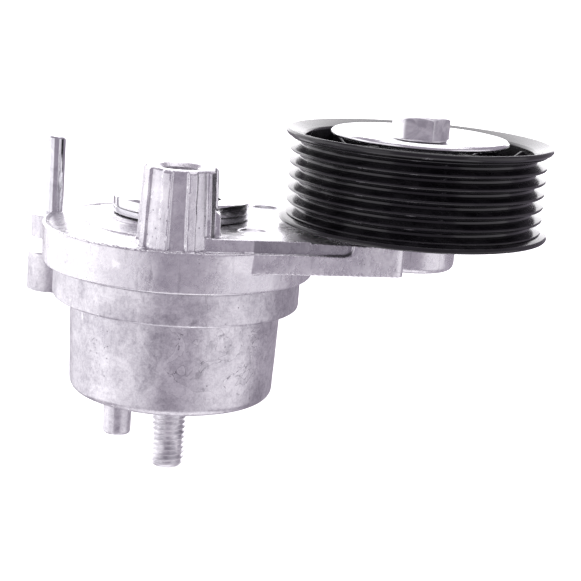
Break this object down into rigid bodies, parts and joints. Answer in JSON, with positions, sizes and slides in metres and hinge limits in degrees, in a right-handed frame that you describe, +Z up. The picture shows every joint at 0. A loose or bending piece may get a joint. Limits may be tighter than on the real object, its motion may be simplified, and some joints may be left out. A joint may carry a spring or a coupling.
{
  "type": "belt tensioner idler",
  "caption": "Sprung belt tensioner: round die-cast spring case and swinging arm with a grooved black idler pulley, ribbed boss, locking pin and threaded mounting bolt.",
  "frame": {"origin": "centre of the spring case's flat mounting face, on the pivot axis, where the mounting bolt's thread comes out", "axes": "+Z up the pivot axis away from the engine, +X from the pivot axis to the pulley axis"},
  "size_m": [0.1459, 0.076, 0.1059],
  "materials": {
    "case_casting": "die-cast aluminium, satin, mottled, with a faint violet-grey tone",
    "arm_casting": "die-cast aluminium, satin, with flash marks along the rim",
    "bright_cap": "pressed steel, bright zinc plate",
    "zinc_bolt": "zinc-plated steel, matt",
    "machined_steel": "turned steel",
    "ground_pin": "drawn steel wire, shiny",
    "spring_steel": "oiled spring steel",
    "bearing_steel": "ground bearing steel",
    "pulley_polymer": "glass-filled nylon, black, semi-gloss with fine turned rings",
    "black_friction": "black friction polymer",
    "seat_polymer": "dark moulded nylon",
    "shoe_polymer": "olive-grey friction compound",
    "bushing_polymer": "amber bearing polymer",
    "cage_polymer": "brown moulded nylon",
    "seal_rubber": "black nitrile rubber"
  },
  "bodies": {
    "fixed_case": {"spring_case": "case_casting", "lower_spring_seat": "seat_polymer", "torsion_spring": "spring_steel", "pivot_shaft": "machined_steel", "mounting_bolt": "zinc_bolt", "retainer_plate": "machined_steel", "friction_disc": "black_friction", "hub_cap": "bright_cap", "thrust_washer": "black_friction", "dust_seal": "seal_rubber"},
    "swing_arm": {"tensioner_arm": "arm_casting", "pivot_bushing": "bushing_polymer", "upper_spring_seat": "seat_polymer", "damping_shoe": "shoe_polymer", "damper_spring_band": "spring_steel", "spacer_washer": "machined_steel", "bearing_sleeve": "machined_steel", "bearing_inner_ring": "bearing_steel", "cap_spacer": "machined_steel", "dust_cap": "bright_cap", "pulley_bolt": "zinc_bolt"},
    "pull_pin": {"locking_pin": "ground_pin"},
    "idler": {"grooved_pulley": "pulley_polymer", "bearing_outer_ring": "bearing_steel", "bearing_seal_top": "seal_rubber", "bearing_seal_bottom": "seal_rubber"},
    "ball_set": {"bearing_cage": "cage_polymer", "bearing_balls": "bearing_steel"}
  },
  "joints": [
    {"name": "arm_swing", "type": "hinge", "parent": "fixed_case", "child": "swing_arm", "pos_m": [0, 0, 0], "axis": [0, 0, 1], "range_deg": [-6, 40], "stiffness_Nm_per_rad": 28, "deforming": ["torsion_spring"]},
    {"name": "pulley_spin", "type": "hinge", "parent": "swing_arm", "child": "idler", "pos_m": [0.0646, 0, 0.06435], "axis": [0, 0, 1], "continuous": true},
    {"name": "cage_spin", "type": "hinge", "parent": "swing_arm", "child": "ball_set", "pos_m": [0.0646, 0, 0.06435], "axis": [0, 0, 1], "continuous": true},
    {"name": "pin_pull", "type": "slide", "parent": "swing_arm", "child": "pull_pin", "axis": [0, 0, 1], "range_m": [0, 0.045]}
  ],
  "couplings": [
    {"joint": "cage_spin", "follows": "pulley_spin", "ratio": 0.6182}
  ]
}
